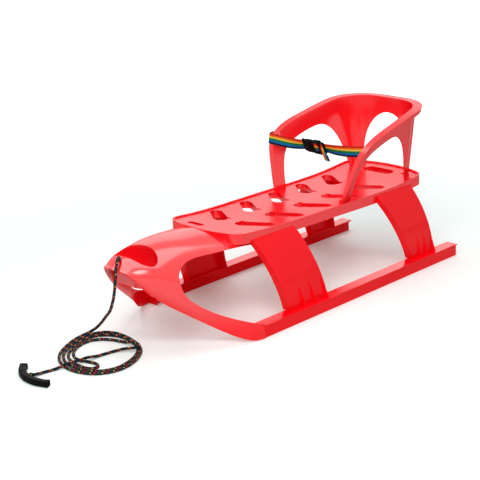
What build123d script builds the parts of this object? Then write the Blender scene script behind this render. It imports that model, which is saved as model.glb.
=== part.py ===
"""Plastic sled with a backrest that lifts out, a lap strap and a pull rope.

Frame: +Z up, the nose points along -Y, +X is the sled's left side, the floor is z = 0,
and the origin is at the middle of the footprint.  Millimetres.
Lengths called "back" are distances forward of the runners' rear ends.
"""
from build123d import *
import os
from math import cos, pi, radians, sin, tan

# ---- Driving dimensions ----------------------------------------------------------------------
sled_length = 968.0
track_width = 360.0
wall = 3.0

deck_top = 204.0
deck_rear_gap = 30.0
deck_length = 686.0
deck_front_half = 105.0
deck_rear_half = 115.0
deck_front_bow = 24.0
deck_rear_bow = 26.0
deck_front_round = 34.0
deck_rear_round = 32.0
# Shares of the deck's length from its rear, and the rise of its top there.
deck_rise = (
    (-0.03, 6.0), (0.03, 5.0), (0.09, 1.5), (0.16, -2.0), (0.27, -4.0), (0.47, -2.0),
    (0.69, 0.5), (0.85, 4.5), (0.97, 11.0), (1.03, 13.0),
)
skirt_depth = 24.0
rim_width = 4.5
rim_height = 3.0

hole_rows = 5
hole_pitch = 98.0
last_hole_back = 197.0
hole_offset = 55.0
hole_length = 88.0
hole_width = 34.0
hole_tip_width = 28.0
hole_nub_width = 11.0
hole_turn = 36.0
front_hole_length = 46.0
front_hole_width = 16.0
front_hole_back = 680.0
front_hole_side = 36.0
collar_depth = 17.0
collar_wall = 2.5
rear_slot_length = 84.0
rear_slot_width = 30.0
rear_slot_back = 77.0

runner_length = 700.0
flange_width = 30.0
flange_top = 29.0
channel_width = 21.0
channel_lip = 3.0
runner_rib_pitch = 70.0

leg_foot_half = 163.0
leg_bulge = 12.0
leg_return = 20.0
leg_step = 2.0
foot_rib_height = 52.0
foot_rib_reach = 9.0
foot_rib_thick = 2.5
foot_rib_shares = (0.36, 0.64, 0.95)

nose_start = 654.0
nose_foot_gap = 6.0
slot_length = 122.0
slot_width = 60.0
slot_back = 898.0
slot_collar_depth = 74.0
rope_hole_back = 941.0
rope_diameter = 6.0
rope_clearance = 1.5

hoop_wall = 3.5
hoop_top = 378.0
hoop_overrun = 8.0
hoop_foot_back = 346.0
hoop_foot_clearance = 4.2
hoop_foot_rear_half = 80.0
hoop_foot_rear_back = 50.0
hoop_foot_round = 42.0
hoop_top_half = 155.0
hoop_top_rear_half = 108.0
hoop_top_rear_back = 31.0
hoop_top_round = 92.0
band_top_width = 18.0
band_foot_width = 1.5
band_thick = 3.5
band_lip = 12.0
post_rib_foot = 5.0
post_rib_thick = 6.0

peg_depth = 12.0
peg_clearance = 0.5
front_peg_back = 330.0
front_peg_length = 24.0
front_peg_width = 6.0
rear_peg_half = 68.0
rear_peg_back = 65.0
rear_peg_length = 12.0
rear_peg_width = 8.0

strap_width = 25.0
strap_thick = 1.6
strap_clearance = 0.6
strap_height = 315.0
strap_lean = 25.0
strap_inset = 13.0
strap_hem = 5.0
strap_bend = 7.0
buckle_length = 66.0
buckle_height = 36.0
buckle_thick = 12.5
buckle_round = 5.0
buckle_back = 312.0
buckle_split = 6.0
tail_inset = 6.0
tail_bulge = 8.0
tail_drop = 34.0

knot_radius = 8.0
coil_centre = (-38.0, 979.0)
coil_long_half = 112.0
coil_wide_half = 86.0
coil_eye = 0.7
coil_turn = 47.0
coil_height = 13.0
coil_strip_width = 13.0
handle_thick = 20.0

# ---- Derived places --------------------------------------------------------------------------
rear = sled_length / 2
half_track = track_width / 2
deck_rear = rear - deck_rear_gap
deck_front = deck_rear - deck_length
nose_length = sled_length - nose_start
panel_top = deck_top - rim_height
skirt_bottom = deck_top - skirt_depth
above = 2 * deck_top
leg_top = skirt_bottom + deck_rise[-1][1]
band_inner = half_track - flange_width
rope_radius = rope_diameter / 2

os.makedirs("parts", exist_ok=True)


def save(part, name):
    """Label one sub-part and write its STEP file."""
    part.label = name
    export_step(part, f"parts/{name}.step")


def at(back):
    """Y of a place this far forward of the runners' rear ends."""
    return rear - back


def deck_half(back):
    """Half width of the tapered deck at one place along it."""
    share = (back - deck_rear_gap) / deck_length
    return deck_rear_half + (deck_front_half - deck_rear_half) * share


hoop_foot_half = deck_half(hoop_foot_back) - rim_width - hoop_foot_clearance - band_foot_width

# ---- Deck ------------------------------------------------------------------------------------
def deck_outline(inset=0.0):
    """Rounded, slightly tapered plan of the deck, with bowed ends."""
    with BuildSketch() as plan:
        with BuildLine():
            front = ThreePointArc(
                (-deck_front_half, deck_front + deck_front_bow),
                (0, deck_front),
                (deck_front_half, deck_front + deck_front_bow),
            )
            back = ThreePointArc(
                (deck_rear_half, deck_rear - deck_rear_bow),
                (0, deck_rear),
                (-deck_rear_half, deck_rear - deck_rear_bow),
            )
            Line(front @ 1, back @ 0)
            Line(back @ 1, front @ 0)
        make_face()
        fillet(plan.vertices().group_by(Axis.Y)[0], deck_front_round)
        fillet(plan.vertices().sort_by(Axis.Y)[-2:], deck_rear_round)
        if inset:
            offset(amount=-inset, mode=Mode.REPLACE)
    return plan.sketch


def deck_side(drop=0.0):
    """Side view of all that is under the deck's saddle-shaped top, let down by a drop."""
    rows = [(deck_rear - share * deck_length, deck_top + rise - drop) for share, rise in deck_rise]
    with BuildSketch() as side:
        with BuildLine():
            top = Spline(*rows)
            Polyline(top @ 1, (rows[-1][0], -wall), (rows[0][0], -wall), top @ 0)
        make_face()
    return side.sketch


def under_deck(drop=0.0):
    """Solid of all that is under the deck's top, let down by a drop."""
    with BuildPart() as body:
        with BuildSketch(Plane.YZ.offset(-track_width)):
            add(deck_side(drop))
        extrude(amount=2 * track_width)
    return body.part


def deck_layer(inset, low, high):
    """Slab with the deck's plan, between two drops from its top."""
    with BuildPart() as slab:
        with BuildSketch():
            add(deck_outline(inset))
        extrude(amount=above)
        add(under_deck(high), mode=Mode.INTERSECT)
        add(under_deck(low), mode=Mode.SUBTRACT)
    return slab.part


def leaf(grow):
    """Leaf-shaped opening: a wide round end drawn out to a narrower one."""
    head = hole_width / 2
    tip = hole_tip_width / 2
    with BuildSketch() as plan:
        with Locations((head - hole_length / 2, 0)):
            Circle(head + grow)
        with Locations((hole_length / 2 - tip, 0)):
            Circle(tip + grow)
        make_hull()
        with Locations((head - hole_length / 2 - wall, head + wall / 2)):
            Circle(hole_nub_width / 2 + grow)
    return plan.sketch


def hole_places():
    """Centre and turn of each leaf-shaped hole on the left side."""
    return [(hole_offset, at(last_hole_back + row * hole_pitch), hole_turn) for row in range(hole_rows)]


def deck_openings(grow):
    """All the deck's openings, grown outwards by the collar's wall or not at all."""
    with BuildSketch() as half:
        with Locations(*[Location((x, y, 0), (0, 0, turn)) for x, y, turn in hole_places()]):
            add(leaf(grow))
    with BuildSketch() as plan:
        add(half.sketch)
        add(mirror(half.sketch, about=Plane.YZ))
        with Locations((0, at(rear_slot_back))):
            SlotOverall(rear_slot_length + 2 * grow, rear_slot_width + 2 * grow)
        with Locations((-front_hole_side, at(front_hole_back))):
            SlotOverall(front_hole_length + 2 * grow, front_hole_width + 2 * grow)
    return plan.sketch


def foot_sockets(grow):
    """Plan of the four sockets that take the backrest's pegs."""
    peg_half = hoop_foot_half - hoop_wall / 2 - front_peg_width / 2
    with BuildSketch() as plan:
        for side in (-1, 1):
            with Locations((side * peg_half, at(front_peg_back))):
                Rectangle(front_peg_width + 2 * grow, front_peg_length + 2 * grow)
            with Locations((side * rear_peg_half, at(rear_peg_back))):
                Rectangle(rear_peg_width + 2 * grow, rear_peg_length + 2 * grow)
    return plan.sketch


with BuildPart() as collars:
    with BuildSketch(Plane.XY.offset(panel_top - collar_depth)):
        add(deck_openings(collar_wall))
    extrude(amount=above)
    with BuildSketch(Plane.XY.offset(panel_top - peg_depth - wall)):
        add(foot_sockets(peg_clearance + wall))
    extrude(amount=above)
    add(deck_layer(wall / 2, above, rim_height + wall / 2), mode=Mode.INTERSECT)
with BuildPart() as deck:
    add(deck_layer(0, skirt_depth, 0))
    add(deck_layer(wall, skirt_depth, rim_height + wall), mode=Mode.SUBTRACT)
    add(deck_layer(rim_width, rim_height, 0), mode=Mode.SUBTRACT)
    add(collars.part)
    with BuildSketch():
        add(deck_openings(0))
    extrude(amount=above, mode=Mode.SUBTRACT)
    with BuildSketch(Plane.XY.offset(panel_top - peg_depth)):
        add(foot_sockets(peg_clearance))
    extrude(amount=above, mode=Mode.SUBTRACT)
save(deck.part, "deck")


# ---- Runners ---------------------------------------------------------------------------------
def runner_section():
    """Inverted channel with a flange that reaches inwards."""
    inner = half_track - channel_width
    outer = half_track - channel_lip
    with BuildSketch() as plan:
        with BuildLine():
            Polyline(
                (outer, 0),
                (outer, flange_top - wall),
                (half_track, flange_top - wall),
                (half_track, flange_top),
                (band_inner, flange_top),
                (band_inner, flange_top - wall),
                (inner, flange_top - wall),
                (inner, 0),
                (inner + wall, 0),
                (inner + wall, flange_top - wall),
                (outer - wall, flange_top - wall),
                (outer - wall, 0),
                close=True,
            )
        make_face()
    return plan.sketch


with BuildPart() as left_runner:
    with BuildSketch(Plane.XZ.offset(-rear)):
        add(runner_section())
    extrude(amount=runner_length)
    rib_count = int(runner_length // runner_rib_pitch)
    middle = half_track - (channel_width + channel_lip) / 2
    with Locations(Location((middle, rear - runner_length / 2, flange_top / 2))):
        with GridLocations(0, runner_rib_pitch, 1, rib_count):
            Box(channel_width - channel_lip - wall, wall, flange_top - 2 * wall)
save(left_runner.part, "left_runner")

with BuildPart() as right_runner:
    add(mirror(left_runner.part, about=Plane.YZ))
save(right_runner.part, "right_runner")


# ---- Legs ------------------------------------------------------------------------------------
def leg_band(top_half, outer, inner):
    """Strip between two copies of the leg's bowed face, in the cross-section plane."""
    middle_x = (top_half + leg_foot_half) / 2 + leg_bulge
    middle_z = (leg_top + flange_top) / 2 + leg_bulge
    with BuildSketch() as plan:
        with BuildLine():
            face = ThreePointArc(
                (top_half - outer, leg_top),
                (middle_x - outer, middle_z),
                (leg_foot_half - outer, flange_top),
            )
            back = ThreePointArc(
                (top_half - inner, leg_top),
                (middle_x - inner, middle_z),
                (leg_foot_half - inner, flange_top),
            )
            Line(face @ 0, back @ 0)
            Line(face @ 1, back @ 1)
        make_face()
    return plan.sketch


def leg_side(top_front, top_rear, foot_front, foot_rear, inset=0.0):
    """Side view of a leg, from its edges' distances forward of the runners' rear ends."""
    reach = 2 * inset
    with BuildSketch() as plan:
        with BuildLine():
            Polyline(
                (at(top_front - inset), leg_top + reach),
                (at(foot_front - inset), flange_top - reach),
                (at(foot_rear + inset), flange_top - reach),
                (at(top_rear + inset), leg_top + reach),
                close=True,
            )
        make_face()
    return plan.sketch


def gusset():
    """Slim triangle that braces a leg on its runner's flange."""
    with BuildSketch() as plan:
        with BuildLine():
            Polyline(
                (leg_foot_half - wall, -wall),
                (leg_foot_half + foot_rib_reach, -wall),
                (leg_foot_half + foot_rib_reach, 0),
                (leg_foot_half - wall / 2, foot_rib_height),
                close=True,
            )
        make_face()
    return plan.sketch


def leg(top_front, top_rear, foot_front, foot_rear):
    """One bowed leg: a thin outer face, two edge returns and three gussets at the foot."""
    edges = (top_front, top_rear, foot_front, foot_rear)
    top_half = deck_half((top_front + top_rear) / 2) + leg_step
    with BuildPart() as body:
        with BuildSketch(Plane.XZ):
            add(leg_band(top_half, 0, leg_return))
        extrude(amount=sled_length, both=True)
        with BuildSketch(Plane.YZ):
            add(leg_side(*edges))
        extrude(amount=half_track, mode=Mode.INTERSECT)
    with BuildPart() as hollow:
        with BuildSketch(Plane.XZ):
            add(leg_band(top_half, wall, leg_return + wall))
        extrude(amount=sled_length, both=True)
        with BuildSketch(Plane.YZ):
            add(leg_side(*edges, inset=wall))
        extrude(amount=half_track, mode=Mode.INTERSECT)
    with BuildPart() as made:
        add(body.part)
        add(hollow.part, mode=Mode.SUBTRACT)
        lean = Vector(0, at(top_rear) - at(foot_rear), leg_top - flange_top).normalized()
        normal = Vector(1, 0, 0).cross(lean)
        for share in foot_rib_shares:
            y = at(foot_front + share * (foot_rear - foot_front))
            with BuildSketch(Plane(origin=(0, y, flange_top), x_dir=(1, 0, 0), z_dir=normal)):
                add(gusset())
            extrude(amount=foot_rib_thick / 2, both=True)
        add(deck_layer(0, skirt_depth, -deck_top), mode=Mode.SUBTRACT)
        with BuildSketch():
            with Locations((leg_foot_half, at((foot_front + foot_rear) / 2))):
                Rectangle(half_track, sled_length)
        extrude(amount=flange_top, mode=Mode.SUBTRACT)
    return made.part


front_leg_edges = (nose_start, 520, 602, 474)
rear_leg_edges = (232, 104, 160, 74)
for end, edges in (("front", front_leg_edges), ("rear", rear_leg_edges)):
    left_leg = leg(*edges)
    save(left_leg, f"left_{end}_leg")
    with BuildPart() as right_leg:
        add(mirror(left_leg, about=Plane.YZ))
    save(right_leg.part, f"right_{end}_leg")


# ---- Nose ------------------------------------------------------------------------------------
# Each row is a cross-section: its place as a share of the nose's length, its crest's height as
# a share of the deck's, and the half width and height of its shoulder, side, band and lower
# edge as shares of half the track and of the deck's height.
nose_rows = (
    (0.000, 1.025, (0.306, 0.995), (0.544, 0.917), (0.956, 0.176), (0.997, 0.005)),
    (0.146, 1.047, (0.306, 1.010), (0.544, 0.917), (0.978, 0.167), (0.997, 0.005)),
    (0.290, 1.066, (0.306, 1.025), (0.544, 0.907), (0.878, 0.255), (0.906, 0.039)),
    (0.433, 1.074, (0.306, 1.032), (0.528, 0.892), (0.722, 0.392), (0.694, 0.176)),
    (0.592, 1.074, (0.306, 1.020), (0.506, 0.848), (0.572, 0.529), (0.489, 0.358)),
    (0.752, 1.054, (0.289, 0.985), (0.444, 0.848), (0.444, 0.686), (0.356, 0.544)),
    (0.863, 1.025, (0.233, 0.961), (0.322, 0.882), (0.333, 0.794), (0.278, 0.706)),
    (0.943, 0.985, (0.167, 0.936), (0.206, 0.912), (0.222, 0.887), (0.200, 0.858)),
    (1.000, 0.956, (0.056, 0.946), (0.072, 0.941), (0.078, 0.931), (0.067, 0.922)),
)
# The side window's upper edge, its front end and its lower edge, as shares of the same lengths.
window_top = ((0, 0.897), (0.12, 0.912), (0.25, 0.922), (0.40, 0.931), (0.56, 0.919), (0.64, 0.86))
window_front = (0.668, 0.775)
window_low = ((0.564, 0.485), (0.401, 0.314), (0.146, 0.157))


def nose_section(row, inset, drop):
    """Closed arch at one station, drawn in by the shell's wall and let down at its open side."""
    place, crest, *corners = row
    half = [(max(x * half_track - inset, 2), z * deck_top - inset) for x, z in corners]
    foot = (half[-1][0], half[-1][1] - drop)
    with BuildSketch(Plane.XZ.offset(-at(nose_start + place * nose_length))) as section:
        with BuildLine():
            arch = [(-x, z) for x, z in reversed(half)] + [(0, crest * deck_top - inset)] + half
            Spline(*arch)
            Polyline(half[-1], foot, (-foot[0], foot[1]), arch[0])
        make_face()
    return section.sketch


def nose_body(inset=0.0, drop=0.1):
    """The nose as a solid, before it is hollowed."""
    with BuildPart() as body:
        for row in nose_rows:
            add(nose_section(row, inset, drop))
        loft()
    return body.part


def slot_plan(grow):
    """Plan of the hand slot in the nose."""
    with BuildSketch() as plan:
        with Locations((0, at(slot_back))):
            Ellipse(slot_length / 2 + grow, slot_width / 2 + grow)
    return plan.sketch


def window_side():
    """Side view of the opening between the nose, the deck and the front leg."""
    top_edge, front_end, low_edge = (
        [(at(nose_start - 1 + share * nose_length), height * deck_top) for share, height in rows]
        for rows in (window_top, (window_front,), window_low)
    )
    with BuildSketch() as plan:
        with BuildLine():
            top = Spline(*top_edge, *front_end, tangents=((-1, 0.1), (0.05, -1)))
            low = Spline(
                *front_end, *low_edge, (at(nose_start - 1), flange_top),
                tangents=((0.05, -1), (1, 0)),
            )
            Line(low @ 1, top @ 0)
        make_face()
    return plan.sketch


with BuildPart() as slot_collar:
    with BuildSketch(Plane.XY.offset(nose_rows[4][1] * deck_top - slot_collar_depth)):
        add(slot_plan(wall))
        add(slot_plan(0), mode=Mode.SUBTRACT)
    extrude(amount=2 * slot_collar_depth)
    add(nose_body(wall / 2), mode=Mode.INTERSECT)

with BuildPart() as toes:
    with BuildSketch(Plane.XZ.offset(-at(runner_length))):
        for side in (-1, 1):
            with Locations((side * (half_track - flange_width / 2), 0)):
                Rectangle(flange_width, flange_top, align=(Align.CENTER, Align.MIN))
    extrude(amount=wall)
    add(nose_body(0), mode=Mode.INTERSECT)

with BuildPart() as nose_cowl:
    add(nose_body())
    add(nose_body(wall, 40), mode=Mode.SUBTRACT)
    with BuildSketch(Plane.YZ):
        add(window_side())
    extrude(amount=half_track + wall, both=True, mode=Mode.SUBTRACT)
    add(deck_layer(0, skirt_depth, -deck_top), mode=Mode.SUBTRACT)
    with BuildSketch(Plane.XY):
        add(slot_plan(0))
    extrude(amount=above, mode=Mode.SUBTRACT)
    add(slot_collar.part)
    add(toes.part)
    with Locations((0, at(rope_hole_back), deck_top)):
        Cylinder(rope_radius + rope_clearance, deck_top / 2, mode=Mode.SUBTRACT)
    with BuildSketch(Plane.XY):
        with Locations((0, at(runner_length))):
            Rectangle(2 * track_width, runner_length, align=(Align.CENTER, Align.MIN))
    extrude(amount=flange_top + nose_foot_gap, mode=Mode.SUBTRACT)
save(nose_cowl.part, "nose_cowl")


# ---- Backrest --------------------------------------------------------------------------------
# Shares of the backrest's length from its rear, and of its height, along each edge.
hoop_top_rows = ((-0.12, 1.0), (0.29, 0.972), (0.58, 0.87), (0.815, 0.745))
hoop_front_rows = ((0.922, 0.585), (0.968, 0.31), (1.0, 0.0))
side_window_rows = (
    (0.905, -0.05), (0.875, 0.28), (0.825, 0.47), (0.70, 0.60), (0.56, 0.665), (0.46, 0.675),
    (0.375, 0.59), (0.29, 0.31), (0.235, -0.05),
)
back_window_rows = ((-0.70, -0.05), (-0.80, 0.35), (-0.54, 0.67), (0.0, 0.79))


def hoop_plan(z, front_half, rear_half, rear_back, corner, grow):
    """Plan of the backrest's wall at one height, grown outwards."""
    with BuildSketch(Plane.XY.offset(z)) as plan:
        with BuildLine():
            Polyline(
                (-front_half - grow, at(hoop_foot_back + hoop_wall * 4)),
                (front_half + grow, at(hoop_foot_back + hoop_wall * 4)),
                (rear_half + grow, at(rear_back) + grow),
                (-rear_half - grow, at(rear_back) + grow),
                close=True,
            )
        make_face()
        fillet(plan.vertices().group_by(Axis.Y)[-1], corner + grow)
    return plan.sketch


def hoop_cone(grow_foot, grow_top):
    """Solid inside the backrest's flaring wall, grown outwards at its foot and its top."""
    with BuildPart() as cone:
        add(hoop_plan(panel_top - peg_depth, hoop_foot_half, hoop_foot_rear_half, hoop_foot_rear_back,
                      hoop_foot_round, grow_foot))
        add(hoop_plan(hoop_top + hoop_overrun, hoop_top_half, hoop_top_rear_half, hoop_top_rear_back,
                      hoop_top_round, grow_top))
        loft()
    return cone.part


def hoop_place(share, height):
    """Side view's place at a share of the backrest's length and of its height."""
    return Vector(at(share * hoop_foot_back), panel_top + height * (hoop_top - panel_top))


def hoop_side(inset):
    """Side view of the backrest inside its swept top and front edge."""
    with BuildSketch() as side:
        with BuildLine():
            top = hoop_edge(inset)
            low = panel_top - peg_depth
            Polyline(top @ 1, ((top @ 1).X, low), ((top @ 0).X, low), top @ 0)
        make_face()
    return side.sketch


def hoop_edge(inset):
    """The backrest's swept top and front edge, from behind its back down to its foot."""
    top = [hoop_place(share, height) - Vector(0, inset) for share, height in hoop_top_rows]
    front = [hoop_place(share, height) + Vector(inset, 0) for share, height in hoop_front_rows]
    return Spline(*top, *front, tangents=((-1, 0), (-0.12, -1)))


def side_window():
    """Side view of the opening between the backrest's front arm and its rear post."""
    with BuildSketch() as side:
        with BuildLine():
            edge = Spline(*[hoop_place(share, height) for share, height in side_window_rows])
            Line(edge @ 1, edge @ 0)
        make_face()
    return side.sketch


def back_window():
    """Rear view of the opening in the backrest's back."""
    rows = [(x * hoop_foot_rear_half, hoop_place(0, height).Y) for x, height in back_window_rows]
    with BuildSketch() as view:
        with BuildLine():
            edge = Spline(*rows, *[(-x, z) for x, z in reversed(rows[:-1])])
            Line(edge @ 1, edge @ 0)
        make_face()
    return view.sketch


def arm_front(z):
    """How far forward the arms' front edge is at one height."""
    with BuildLine() as path:
        edge = hoop_edge(0)
    low, high = 0.0, 1.0
    for _ in range(40):
        middle = (low + high) / 2
        if (edge @ middle).Y > z:
            low = middle
        else:
            high = middle
    return rear - (edge @ low).X


strap_rise = strap_width / 2 * cos(radians(strap_lean))
strap_run = strap_width / 2 * sin(radians(strap_lean))
strap_slot_back = arm_front(strap_height) - strap_inset
strap_front_back = arm_front(strap_height - strap_rise) - strap_run + strap_thick / 2 + strap_clearance


def leaning_strap(points, thick=strap_thick, extra=0.0):
    """Webbing along (x, back) points, leaning back over its width as the arms do."""
    angle = radians(strap_lean)
    half_width = strap_width / 2 + extra
    with BuildPart() as webbing:
        with BuildSketch(Plane.XY.offset(strap_height - half_width * cos(angle))):
            with BuildLine() as path:
                Polyline(*[(x, at(back) - half_width * sin(angle)) for x, back in points])
            trace(path.line, line_width=thick)
        extrude(amount=2 * half_width, dir=(0, sin(angle), cos(angle)))
    return webbing.part


def within_edge(inset):
    """Solid inside the backrest's swept edge."""
    with BuildPart() as body:
        with BuildSketch(Plane.YZ.offset(-track_width)):
            add(hoop_side(inset))
        extrude(amount=2 * track_width)
    return body.part


with BuildPart() as hoop_shell:
    add(hoop_cone(0, 0))
    add(hoop_cone(-hoop_wall, -hoop_wall), mode=Mode.SUBTRACT)
    with BuildSketch(Plane.YZ.offset(-track_width)):
        add(side_window())
    extrude(amount=2 * track_width, mode=Mode.SUBTRACT)
    with BuildSketch(Plane.XZ.offset(-at(140))):
        add(back_window())
    extrude(amount=-track_width, mode=Mode.SUBTRACT)
with BuildPart() as post_ribs:
    for side in (-1, 1):
        with Locations(Location((side * rear_peg_half, at(rear_peg_back), hoop_top / 2), (0, 0, -side * 45))):
            Box(post_rib_thick, track_width / 2, hoop_top)
    add(hoop_cone(post_rib_foot, post_rib_foot + 2), mode=Mode.INTERSECT)
    add(hoop_cone(-hoop_wall, -hoop_wall), mode=Mode.SUBTRACT)
with BuildPart() as hoop_band:
    add(hoop_cone(band_foot_width, band_top_width))
    add(hoop_cone(-hoop_wall, -hoop_wall), mode=Mode.SUBTRACT)
    add(within_edge(band_thick), mode=Mode.SUBTRACT)
with BuildPart() as hoop_lip:
    add(hoop_cone(band_foot_width, band_top_width))
    add(hoop_cone(band_foot_width - hoop_wall, band_top_width - hoop_wall), mode=Mode.SUBTRACT)
    add(within_edge(band_lip), mode=Mode.SUBTRACT)
with BuildPart() as pegs:
    with BuildSketch(Plane.XY.offset(panel_top - peg_depth)):
        add(foot_sockets(0))
    extrude(amount=peg_depth + 2 * rim_height)
with BuildPart() as backrest:
    add(hoop_shell.part)
    add(post_ribs.part)
    add(hoop_band.part)
    add(hoop_lip.part)
    add(within_edge(0), mode=Mode.INTERSECT)
    add(under_deck(rim_height), mode=Mode.SUBTRACT)
    add(pegs.part)
    slot_route = ((-half_track, strap_slot_back), (half_track, strap_slot_back))
    slot_opening = leaning_strap(slot_route, 2 * strap_thick + 2 * strap_clearance, strap_clearance)
    add(slot_opening, mode=Mode.SUBTRACT)
save(backrest.part, "backrest")


# ---- Lap strap and buckle --------------------------------------------------------------------
def arm_half(z, foot_width=0.0, top_width=0.0):
    """Half width over the arms' outer faces, or over their band, at one height."""
    low = panel_top - peg_depth
    share = (z - low) / (hoop_top + hoop_overrun - low)
    foot_half = hoop_foot_half + foot_width
    return foot_half + (hoop_top_half + top_width - foot_half) * share


arm_outer = arm_half(strap_height + strap_width / 2)
arm_inner = arm_half(strap_height - strap_width / 2) - hoop_wall
buckle_half = buckle_length / 2
band_half = arm_half(strap_height + strap_rise, band_foot_width, band_top_width)
strap_loop_half = band_half + strap_thick / 2 + strap_clearance

with BuildPart() as left_strap:
    add(leaning_strap((
        (arm_outer + strap_hem, strap_slot_back),
        (arm_inner - strap_bend, strap_slot_back),
        (buckle_half + strap_bend, buckle_back),
        (buckle_half, buckle_back),
    )))
    hem = ((arm_outer, strap_slot_back), (arm_outer + strap_hem, strap_slot_back))
    add(leaning_strap(hem, 2 * strap_thick))
save(left_strap.part, "left_strap")

with BuildPart() as right_strap:
    add(leaning_strap((
        (-buckle_half, buckle_back),
        (-buckle_half - strap_bend, buckle_back),
        (-arm_inner, strap_front_back),
        (-strap_loop_half, strap_front_back),
        (-strap_loop_half, strap_slot_back),
        (-arm_inner + strap_bend, strap_slot_back),
    )))
save(right_strap.part, "right_strap")


def buckle_half_block(keep):
    """One half of the buckle, cut where the tongue enters the socket."""
    with BuildPart() as block:
        with BuildSketch(Plane.XZ.offset(-at(buckle_back) - buckle_thick / 2)):
            with Locations((0, strap_height)):
                RectangleRounded(buckle_length, buckle_height, buckle_round)
        extrude(amount=buckle_thick)
        split(bisect_by=Plane.YZ.offset(-buckle_split), keep=keep)
    return block.part


save(buckle_half_block(Keep.BOTTOM), "buckle_socket")
save(buckle_half_block(Keep.TOP), "buckle_tongue")

tail_back = buckle_back + buckle_thick / 2
with BuildPart() as strap_tail:
    with BuildSketch(Plane.XZ.offset(-at(tail_back))):
        with BuildLine() as hang:
            ThreePointArc(
                (buckle_half - tail_inset, strap_height + buckle_height / 2),
                (buckle_half + tail_bulge, strap_height),
                (buckle_half + tail_bulge / 2, strap_height - tail_drop),
            )
        trace(hang.line, line_width=strap_thick)
    extrude(amount=strap_width)
save(strap_tail.part, "strap_tail")


# ---- Pull rope -------------------------------------------------------------------------------
# Points are (x, back, z): up through the hole, over the lip and down to the floor.
drop_route = (
    (0, 941, 199),
    (0, 941, 206.5),
    (5, 947, 212),
    (11, 955, 211),
    (17, 964, 207),
    (23, 973, 199.5),
    (27, 979, 188),
    (28, 982, 172),
    (25, 982, 154),
    (17, 979, 135),
    (4, 973, 116),
    (-13, 963, 98),
    (-34, 951, 82),
    (-56, 939, 67),
    (-78, 928, 50),
    (-97, 920, 35),
    (-114, 915, 22),
    (-127, 916, 12),
    (-136, 924, 5.5),
    (-139, 937, 3.2),
)
lead_route = (
    (-37, 1077, 6),
    (-40, 1089, 4),
    (-44, 1106, 3.2),
    (-47, 1125, 3.6),
    (-47.5, 1143, 5.5),
    (-45, 1161, 8.5),
)
crossing_route = ((-30, 1052), (-25, 1000), (-25, 950), (0, 918))
handle_route = ((-98, 1136, 10), (-38, 1171, 10), (14, 1162, 10))


def placed(route):
    """Route's points in the part's frame."""
    return [Vector(x, at(back), z) for x, back, z in route]


def corner_radii(points):
    """Largest arc at each corner that its two runs allow."""
    radii = []
    for before, corner, after in zip(points, points[1:], points[2:]):
        run_in = corner - before
        run_out = after - corner
        half_turn = radians(run_in.get_angle(run_out)) / 2
        radii.append(0.45 * min(run_in.length, run_out.length) / tan(half_turn))
    return radii


def rope_tube(route, name):
    """Plain round tube along straight runs joined by tangent arcs."""
    points = placed(route)
    radii = corner_radii(points)
    with BuildPart() as tube:
        with BuildLine() as path:
            FilletPolyline(*points, radius=radii)
        length = sum(edge.length for edge in path.line.edges())
        with BuildSketch(Plane(origin=path.line @ 0, z_dir=path.line % 0)):
            Circle(rope_radius)
        sweep()
    print(name, "length", round(length), "radii", [round(radius) for radius in radii])
    print("volume over section times length", round(tube.part.volume / (length * pi * rope_radius**2), 4))
    return tube.part


save(rope_tube(drop_route, "rope_drop"), "rope_drop")
save(rope_tube(lead_route, "rope_lead"), "rope_lead")

knot_top = drop_route[0][2]
with BuildPart() as rope_knot:
    with Locations((0, at(rope_hole_back), knot_top - knot_radius * 7 / 8)):
        Sphere(knot_radius)
    split(bisect_by=Plane.XY.offset(knot_top), keep=Keep.BOTTOM)
save(rope_knot.part, "rope_knot")

with BuildPart() as rope_coil:
    with BuildSketch(Plane.XY):
        with Locations(Location((coil_centre[0], at(coil_centre[1]), 0), (0, 0, -coil_turn))):
            Ellipse(coil_long_half, coil_wide_half)
            Ellipse(coil_long_half * coil_eye, coil_wide_half * coil_eye, mode=Mode.SUBTRACT)
        with BuildLine() as crossing:
            Spline(*[Vector(x, at(back)) for x, back in crossing_route])
        trace(crossing.line, line_width=coil_strip_width)
    extrude(amount=coil_height)
save(rope_coil.part, "rope_coil")

with BuildPart() as handle:
    with BuildLine() as spine:
        ThreePointArc(*placed(handle_route))
    with BuildSketch(Plane(origin=spine.line @ 0, z_dir=spine.line % 0)):
        Circle(handle_thick / 2)
    sweep()
save(handle.part, "handle")
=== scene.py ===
"""Moulded plastic sled: finishes for its red mouldings, a woven lap strap with a buckle, a braided
pull rope with a bar handle, and a pale studio.  Metres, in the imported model's own frame."""
from math import cos, radians, sin, tau

import bmesh
import bpy
from bpy.props import FloatProperty, FloatVectorProperty, IntProperty, PointerProperty
from mathutils import Matrix, Vector


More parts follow.
